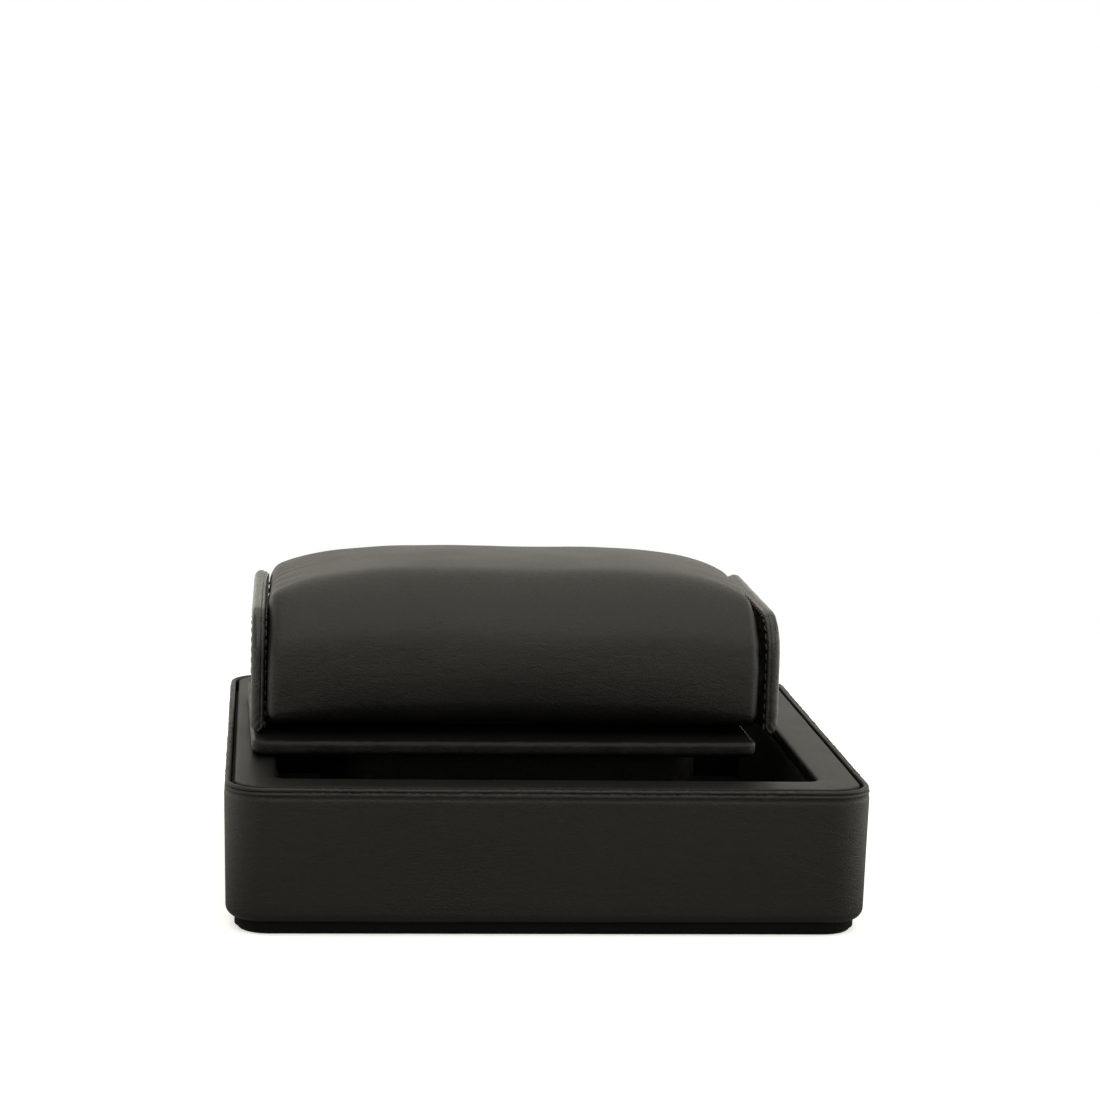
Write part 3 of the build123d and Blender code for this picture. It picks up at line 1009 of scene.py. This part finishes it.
def studio():
    photo_camera()
    paper_floor()
    studio_world()
    softbox("back_panel", (0.0, 1.3, 0.42), (0.0, 0.0, 0.04), 1.5, 0.8, 2.1)
    softbox("top_panel", (0.0, -0.25, 1.0), (0.0, 0.0, 0.03), 1.4, 1.9, 10.5)
    softbox("left_panel", (-1.1, 0.2, 0.35), (0.0, 0.0, 0.03), 1.1, 0.7, 2.2)
    softbox("right_panel", (1.1, 0.1, 0.35), (0.0, 0.0, 0.03), 1.1, 0.7, 5.5)
    softbox("bridge_panel", (0.0, 1.15, 0.98), (0.0, 0.0, 0.04), 1.5, 0.5, 2.2)
    softbox("high_front_panel", (0.0, -1.25, 0.95), (0.0, 0.0, 0.04), 1.6, 0.5, 2.5)
    softbox("low_front_panel", (0.0, -1.5, 0.5), (0.0, 0.0, 0.04), 1.6, 0.45, 1.6)
    bpy.context.scene.view_settings.view_transform = "Standard"


# Assembly


def place_piece(piece, body, slot, *nodes):
    """Ties a piece to its body and hides the CAD nodes that it stands for. The slot is not used."""
    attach(piece, body)
    if nodes:
        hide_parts(*nodes)


def dress_boards(wood, shade_board, grey, cloth):
    """Materials of the CAD nodes that stay."""
    boards = {
        "base_board": wood,
        "wall_board_front": shade_board,
        "wall_board_back": shade_board,
        "wall_board_left": shade_board,
        "wall_board_right": shade_board,
        "pedestal_core": wood,
        "platform_core": grey,
        "cheek_core_left": grey,
        "cheek_core_right": grey,
        "ledge_core": grey,
        "foot_board": cloth,
    }
    for node, material in boards.items():
        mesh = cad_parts[node].data
        mesh.materials.clear()
        mesh.materials.append(material)


def build():
    # Each leather's tone, then its grain size, roughness, crease depth and gloss
    tray_calf = leather("tray_calf", (0.0075, 0.0073, 0.0068), 0.55, 0.46, 0.25)
    # The ledge gets a darker, less glossy copy of the tray's leather: painted shade for the dark cradle
    # that its front strip mirrors.
    shade_darkened_ledge_calf = leather("shade_darkened_ledge_calf", (0.004, 0.0038, 0.0036), 0.55, 0.44, 0.25, 0.16)
    # The platform, pedestal and strip share a darker, less glossy copy of the black leather: painted
    # shade for the cushion's shadow on them and the dark inside the tray.
    shade_darkened_calf = leather("shade_darkened_calf", (0.004, 0.0039, 0.0036), 0.45, 0.42, 0.3, 0.24)
    cheek_calf = leather("cheek_calf", (0.006, 0.0058, 0.0055), 0.45, 0.27, 0.3, 0.6)
    cushion_calf = leather("cushion_calf", (0.008, 0.0078, 0.0072), 0.5, 0.45, 0.3)
    # The lining's tone is darker than black suede's own: painted shade for the dark inside the tray.
    lining = suede("black_suede_painted_darker", (0.004, 0.0037, 0.0035))
    stitching = thread()

    place_piece(shell_leather_piece(tray_calf), "tray", "tray_leather", "shell_wrap")
    place_piece(ledge_leather_piece(shade_darkened_ledge_calf), "tray", "tray_leather", "ledge_wrap")
    for side in ("front", "back", "left", "right"):
        node = "liner_panel_" + side
        panel = soft_panel("suede_panel_" + side, node, lining)
        place_piece(panel, "tray", "suede_lining", node)
    pad = soft_panel("suede_floor", "floor_pad", lining, 0.35)
    place_piece(pad, "tray", "suede_lining", "floor_pad")
    place_piece(foot_felt_piece(felt()), "tray", "felt", "foot_felt")

    place_piece(platform_leather_piece(shade_darkened_calf), "cradle", "tray_leather", "platform_wrap")
    place_piece(pedestal_leather_piece(shade_darkened_calf), "cradle", "tray_leather", "pedestal_wrap")
    place_piece(web_leather_piece(shade_darkened_calf), "cradle", "tray_leather", "saddle_web")
    for name, side in SIDES:
        cheek = cheek_leather_piece("cheek_leather_" + name, side, cheek_calf)
        place_piece(cheek, "cradle", "tray_leather", "cheek_wrap_" + name)
        stitches = cheek_seams("cheek_stitches_" + name, side, stitching)
        place_piece(stitches, "cradle", "tray_leather")

    cushion = cushion_cover_piece(cushion_calf)
    place_piece(cushion, "cushion", "cushion_leather", "cushion_cover")
    filling = cushion_foam_piece(foam())
    place_piece(filling, "cushion", "foam", "cushion_foam")
    for name, side in SIDES:
        end = cushion_end_piece("cushion_end_panel_" + name, side, cushion_calf)
        place_piece(end, "cushion", "cushion_leather", "cushion_end_" + name)

    raw_board = fibreboard("fibreboard", (0.42, 0.28, 0.16, 1.0), (0.24, 0.14, 0.07, 1.0))
    # The wall boards are painted near black as shade: their tops show in the gap between ledge and rim,
    # which reads dark.
    shade_board_pale, shade_board_deep = (0.012, 0.0115, 0.011, 1.0), (0.004, 0.0038, 0.0036, 1.0)
    painted_shade_board = fibreboard("fibreboard_darkened_as_shade", shade_board_pale, shade_board_deep)
    dress_boards(raw_board, painted_shade_board, greyboard(), foot_cloth())
    studio()


build()
